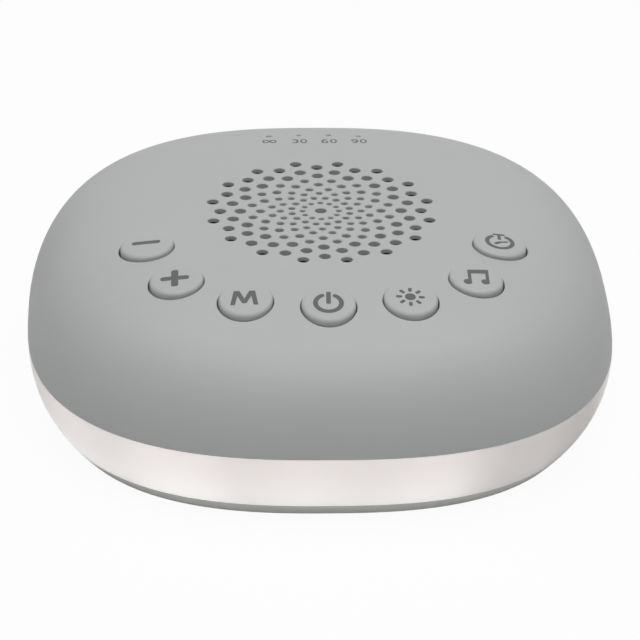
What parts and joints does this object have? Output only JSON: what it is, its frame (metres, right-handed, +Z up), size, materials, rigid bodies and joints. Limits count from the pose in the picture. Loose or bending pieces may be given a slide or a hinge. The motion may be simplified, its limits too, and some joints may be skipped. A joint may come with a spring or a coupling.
{
  "type": "white noise sound machine",
  "caption": "Domed squircle sound machine: perforated speaker grille on top, an arc of round push keys, timer lights, a translucent light band round the middle and a rear power inlet.",
  "frame": {"origin": "on the table, under the middle of the housing, at the level of the feet's soles", "axes": "+Z up, -Y towards the user at the row of keys, +X to the user's right; the power inlet is at +Y"},
  "size_m": [0.118, 0.118, 0.0418],
  "materials": {
    "shell_plastic": "fine satin moulding, light grey",
    "key_plastic": "satin light grey with printed symbols",
    "diffuser_plastic": "milky translucent",
    "base_plastic": "fine satin moulding, grey",
    "foot_rubber": "matte",
    "white_plastic": "smooth white",
    "flex_circuit": "flexible circuit",
    "led_resin": "phosphor resin",
    "black_plastic": "moulded black",
    "circuit_board": "green solder mask",
    "screw_steel": "zinc plated",
    "plated_steel": "plated",
    "clear_plastic": "clear moulding",
    "black_mesh": "fine dust mesh",
    "foam": "closed cell foam",
    "soft_rubber": "half roll",
    "black_paper": "pressed paper",
    "copper_wire": "enamelled winding",
    "woven_cloth": "resin treated cloth",
    "ferrite": "sintered ferrite",
    "fibre_board": "fibre strip",
    "wire_insulation": "insulated wire",
    "can_sleeve": "aluminium can"
  },
  "bodies": {
    "housing": {"top_shell": "shell_plastic", "diffuser_band": "diffuser_plastic", "base_cover": "base_plastic", "light_reflector": "white_plastic", "led_strip": "flex_circuit", "strip_leds": "led_resin", "switch_cases": "black_plastic", "button_board": "circuit_board", "button_board_screws": "screw_steel", "timer_leds": "led_resin", "timer_light_guide": "clear_plastic", "grille_mesh": "black_mesh", "speaker_gasket": "foam", "speaker_frame": "plated_steel", "speaker_surround": "soft_rubber", "speaker_spider": "woven_cloth", "speaker_top_plate": "plated_steel", "speaker_magnet": "ferrite", "speaker_yoke": "plated_steel", "speaker_terminals": "fibre_board", "speaker_screws": "screw_steel", "speaker_wires": "wire_insulation", "main_board": "circuit_board", "board_chips": "black_plastic", "filter_capacitors": "can_sleeve", "speaker_plug": "white_plastic", "main_board_screws": "screw_steel", "ribbon_sockets": "white_plastic", "ribbon_cable": "white_plastic", "usb_socket": "plated_steel", "usb_board": "circuit_board", "usb_board_screws": "screw_steel", "usb_wires": "wire_insulation", "rubber_foot_front_left": "foot_rubber", "rubber_foot_front_right": "foot_rubber", "rubber_foot_rear_left": "foot_rubber", "rubber_foot_rear_right": "foot_rubber", "case_screws": "screw_steel"},
    "minus_key": {"button_minus": "key_plastic", "plunger_minus": "black_plastic"},
    "plus_key": {"button_plus": "key_plastic", "plunger_plus": "black_plastic"},
    "mode_key": {"button_mode": "key_plastic", "plunger_mode": "black_plastic"},
    "power_key": {"button_power": "key_plastic", "plunger_power": "black_plastic"},
    "light_key": {"button_light": "key_plastic", "plunger_light": "black_plastic"},
    "sound_key": {"button_sound": "key_plastic", "plunger_sound": "black_plastic"},
    "timer_key": {"button_timer": "key_plastic", "plunger_timer": "black_plastic"},
    "cone": {"speaker_cone": "black_paper", "speaker_dust_cap": "black_paper", "speaker_voice_coil": "copper_wire"}
  },
  "joints": [
    {"name": "minus_press", "type": "slide", "parent": "housing", "child": "minus_key", "axis": [0, 0, -1], "range_m": [0, 0.0005], "stiffness_N_per_m": 4000},
    {"name": "plus_press", "type": "slide", "parent": "housing", "child": "plus_key", "axis": [0, 0, -1], "range_m": [0, 0.0005], "stiffness_N_per_m": 4000},
    {"name": "mode_press", "type": "slide", "parent": "housing", "child": "mode_key", "axis": [0, 0, -1], "range_m": [0, 0.0005], "stiffness_N_per_m": 4000},
    {"name": "power_press", "type": "slide", "parent": "housing", "child": "power_key", "axis": [0, 0, -1], "range_m": [0, 0.0005], "stiffness_N_per_m": 4000},
    {"name": "light_press", "type": "slide", "parent": "housing", "child": "light_key", "axis": [0, 0, -1], "range_m": [0, 0.0005], "stiffness_N_per_m": 4000},
    {"name": "sound_press", "type": "slide", "parent": "housing", "child": "sound_key", "axis": [0, 0, -1], "range_m": [0, 0.0005], "stiffness_N_per_m": 4000},
    {"name": "timer_press", "type": "slide", "parent": "housing", "child": "timer_key", "axis": [0, 0, -1], "range_m": [0, 0.0005], "stiffness_N_per_m": 4000},
    {"name": "cone_slide", "type": "slide", "parent": "housing", "child": "cone", "axis": [0, 0, 1], "range_m": [-0.0012, 0.0012], "stiffness_N_per_m": 1350, "deforming": ["speaker_surround", "speaker_spider"]}
  ]
}
